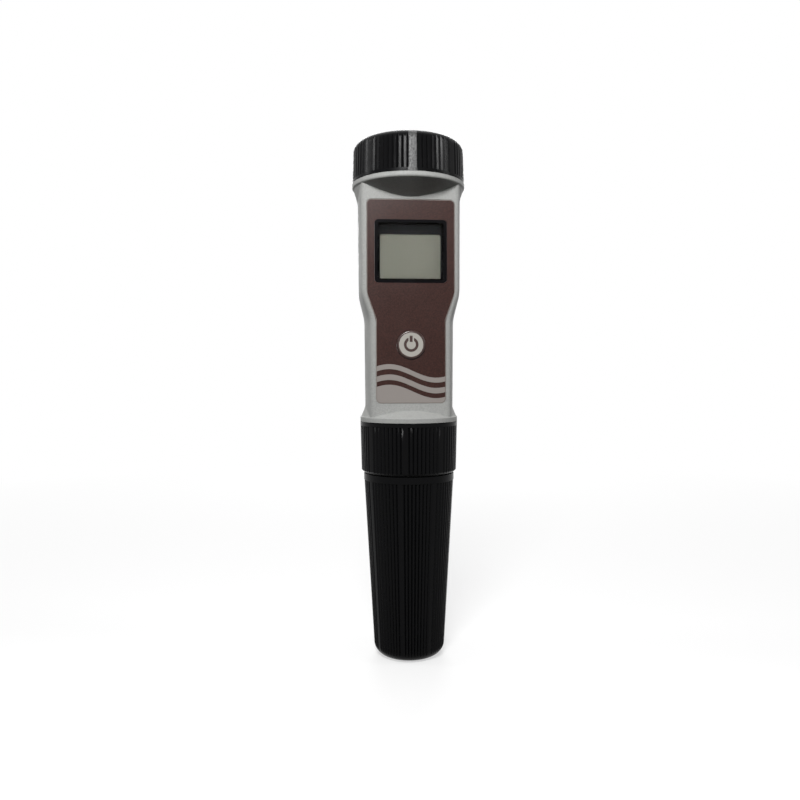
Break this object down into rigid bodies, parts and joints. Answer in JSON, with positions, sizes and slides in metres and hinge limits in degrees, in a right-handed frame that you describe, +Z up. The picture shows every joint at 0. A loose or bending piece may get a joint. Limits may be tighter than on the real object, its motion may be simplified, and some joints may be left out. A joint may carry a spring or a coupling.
{
  "type": "orp tester",
  "caption": "Pen-type redox tester with display, round button, screw-on battery cap, replaceable electrode under a ribbed ring nut and long tapered protective cap.",
  "frame": {"origin": "centre of the underside of the protective cap's flat end, on which the tester stands upright", "axes": "+Z up along the tester's axis towards the battery cap, -Y is the side with the display, +X to the viewer's right"},
  "size_m": [0.042, 0.042, 0.1897],
  "materials": {
    "black_plastic": "fine satin",
    "grey_shell": "satin",
    "label_film": "metallic print under clear film",
    "bezel_black": "gloss",
    "clear_window": "clear",
    "lcd_glass": "matte polariser",
    "button_grey": "satin",
    "frame_white": "satin",
    "elastomer": "matt",
    "switch_metal": "satin",
    "board_green": "solder mask",
    "steel": "bright",
    "chip_black": "matt",
    "capacitor_tan": "matt",
    "contact_gold": "plated",
    "socket_plastic": "matt",
    "chassis_plastic": "matt",
    "seal_rubber": "matt",
    "cell_steel": "satin",
    "electrode_plastic": "satin",
    "clear_glass": "clear",
    "platinum": "bright",
    "ceramic_white": "porous",
    "sponge_yellow": "open foam"
  },
  "bodies": {
    "housing": {"housing": "grey_shell", "front_label": "label_film", "display_bezel": "bezel_black", "display_window": "clear_window", "lcd_panel": "lcd_glass", "lcd_frame": "frame_white", "zebra_strip": "elastomer", "tact_switch": "switch_metal", "circuit_board": "board_green", "board_screws": "steel", "board_chips": "chip_black", "board_capacitors": "capacitor_tan", "board_contacts": "contact_gold", "sensor_socket": "socket_plastic", "socket_leads": "contact_gold", "chassis": "chassis_plastic", "neck_o_ring": "seal_rubber"},
    "battery_tray": {"battery_tray": "chassis_plastic", "button_cells": "cell_steel", "tray_top_contact": "contact_gold", "tray_bottom_contact": "contact_gold"},
    "battery_cap": {"battery_cap": "black_plastic", "swivel_screw": "steel"},
    "power_button": {"power_button": "button_grey", "switch_plunger": "chip_black"},
    "electrode": {"electrode_body": "electrode_plastic", "electrode_pins": "contact_gold", "electrode_o_ring": "seal_rubber", "cap_seal_ring": "seal_rubber", "glass_stem": "clear_glass", "platinum_pin": "platinum", "reference_junction": "ceramic_white"},
    "ring_nut": {"electrode_ring_nut": "black_plastic"},
    "protective_cap": {"protective_cap": "black_plastic", "storage_sponge": "sponge_yellow"}
  },
  "joints": [
    {"name": "cap_turn", "type": "hinge", "parent": "battery_tray", "child": "battery_cap", "pos_m": [0, 0, 0.187], "axis": [0, 0, 1], "range_deg": [0, 756.1]},
    {"name": "cap_lift", "type": "slide", "parent": "housing", "child": "battery_tray", "axis": [0, 0, 1], "range_m": [0, 0.0105]},
    {"name": "ring_turn", "type": "hinge", "parent": "electrode", "child": "ring_nut", "pos_m": [0, 0, 0.0714], "axis": [0, 0, -1], "range_deg": [0, 1080.1]},
    {"name": "electrode_drop", "type": "slide", "parent": "housing", "child": "electrode", "axis": [0, 0, -1], "range_m": [0, 0.012]},
    {"name": "protective_cap_pull", "type": "slide", "parent": "electrode", "child": "protective_cap", "axis": [0, 0, -1], "range_m": [0, 0.055]},
    {"name": "button_press", "type": "slide", "parent": "housing", "child": "power_button", "axis": [0, 1, 0], "range_m": [0, 0.00035], "stiffness_N_per_m": 4000, "springref_m": -0.0002}
  ],
  "couplings": [
    {"joint": "cap_turn", "follows": "cap_lift", "rad_per_m": 1256.6},
    {"joint": "ring_turn", "follows": "electrode_drop", "rad_per_m": 1570.8}
  ]
}
